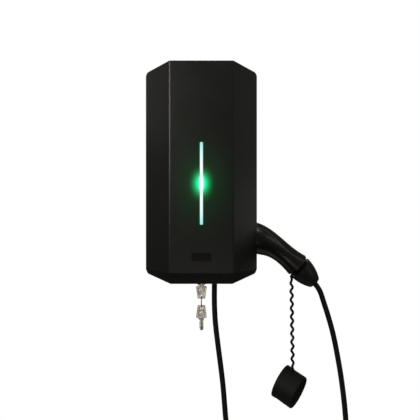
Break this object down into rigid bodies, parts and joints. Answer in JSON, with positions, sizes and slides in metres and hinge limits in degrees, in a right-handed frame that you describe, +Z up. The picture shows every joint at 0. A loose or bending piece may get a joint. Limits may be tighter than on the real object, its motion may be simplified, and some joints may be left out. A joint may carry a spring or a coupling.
{
  "type": "ev wallbox",
  "caption": "Faceted black wall-mounted charging box with a lit strip, a keyed cover, a tethered cable and a connector parked in its side holster",
  "frame": {"origin": "middle of the four wall holes, on the wall plane", "axes": "+Z up, +Y into the wall, +X to the right as seen from the front"},
  "size_m": [0.4129, 0.168, 0.9795],
  "materials": {
    "cover_black": "satin black moulded plastic with a fine grain",
    "base_black": "matte black moulded plastic",
    "plate_gloss": "bare gloss black plate",
    "light_strip": "clear bar lit from behind in white and green",
    "nickel": "worn nickel plate",
    "zinc_steel": "zinc plated steel",
    "connector_black": "smooth black connector plastic",
    "carrier_grey": "dark grey insulator",
    "contact_metal": "plated brass contact",
    "black_rubber": "matte black rubber",
    "cable_black": "black cable sheath",
    "tie_black": "woven black strap",
    "device_grey": "light grey device housing",
    "toggle_blue": "dark toggle",
    "board_green": "green circuit board",
    "wire_brown": "brown wire insulation"
  },
  "bodies": {
    "base": {"base_tray": "base_black", "case_gasket": "black_rubber", "holster_cup": "base_black", "holster_screws": "zinc_steel", "keeper_bracket": "zinc_steel", "keeper_screws": "zinc_steel", "charging_gland": "base_black", "supply_gland": "base_black", "charging_gland_dome": "base_black", "supply_gland_dome": "base_black", "gland_seals": "black_rubber", "gland_locknuts": "base_black", "din_rail": "zinc_steel", "rail_screws": "zinc_steel", "supply_terminals": "device_grey", "breaker": "device_grey", "contactor": "device_grey", "feeder_wires": "wire_brown", "load_wires": "wire_brown", "control_board": "board_green", "board_standoffs": "base_black", "board_screws": "zinc_steel", "cable_lower": "cable_black", "cable_upper": "cable_black", "cable_coil": "cable_black", "coil_tie": "tie_black"},
    "cover": {"front_cover": "cover_black", "light_guide": "light_strip", "light_board": "board_green", "light_board_screws": "zinc_steel", "front_plate": "plate_gloss", "lock_body": "nickel", "lock_nut": "zinc_steel"},
    "lock": {"lock_plug": "nickel", "lock_cam": "zinc_steel", "cam_screw": "zinc_steel", "lock_key": "nickel"},
    "ring": {"key_ring": "nickel"},
    "spare": {"spare_key": "nickel"},
    "connector": {"connector_shell": "connector_black", "contact_carrier": "carrier_grey", "contact_sleeves": "contact_metal", "cable_bell": "black_rubber", "lanyard_collar": "black_rubber", "lanyard": "black_rubber", "dust_cap": "black_rubber"},
    "toggle": {"breaker_toggle": "toggle_blue"}
  },
  "joints": [
    {"name": "cover_swing", "type": "hinge", "parent": "base", "child": "cover", "pos_m": [0, -0.076, 0.197], "axis": [-1, 0, 0], "range_deg": [0, 60]},
    {"name": "lock_turn", "type": "hinge", "parent": "cover", "child": "lock", "pos_m": [0, -0.1435, -0.2], "axis": [0, 0, -1], "range_deg": [0, 90]},
    {"name": "ring_swing", "type": "hinge", "parent": "lock", "child": "ring", "pos_m": [0, -0.1435, -0.2226], "axis": [0, 1, 0], "range_deg": [-35, 35]},
    {"name": "spare_key_swing", "type": "hinge", "parent": "ring", "child": "spare", "pos_m": [0, -0.1435, -0.2422], "axis": [0, 1, 0], "range_deg": [-35, 35]},
    {"name": "connector_pull", "type": "slide", "parent": "base", "child": "connector", "axis": [1, 0, 0], "range_m": [0, 0.08], "deforming": ["cable_upper"]},
    {"name": "toggle_flip", "type": "hinge", "parent": "base", "child": "toggle", "pos_m": [-0.00925, -0.0765, 0.062], "axis": [1, 0, 0], "range_deg": [0, 64]}
  ]
}
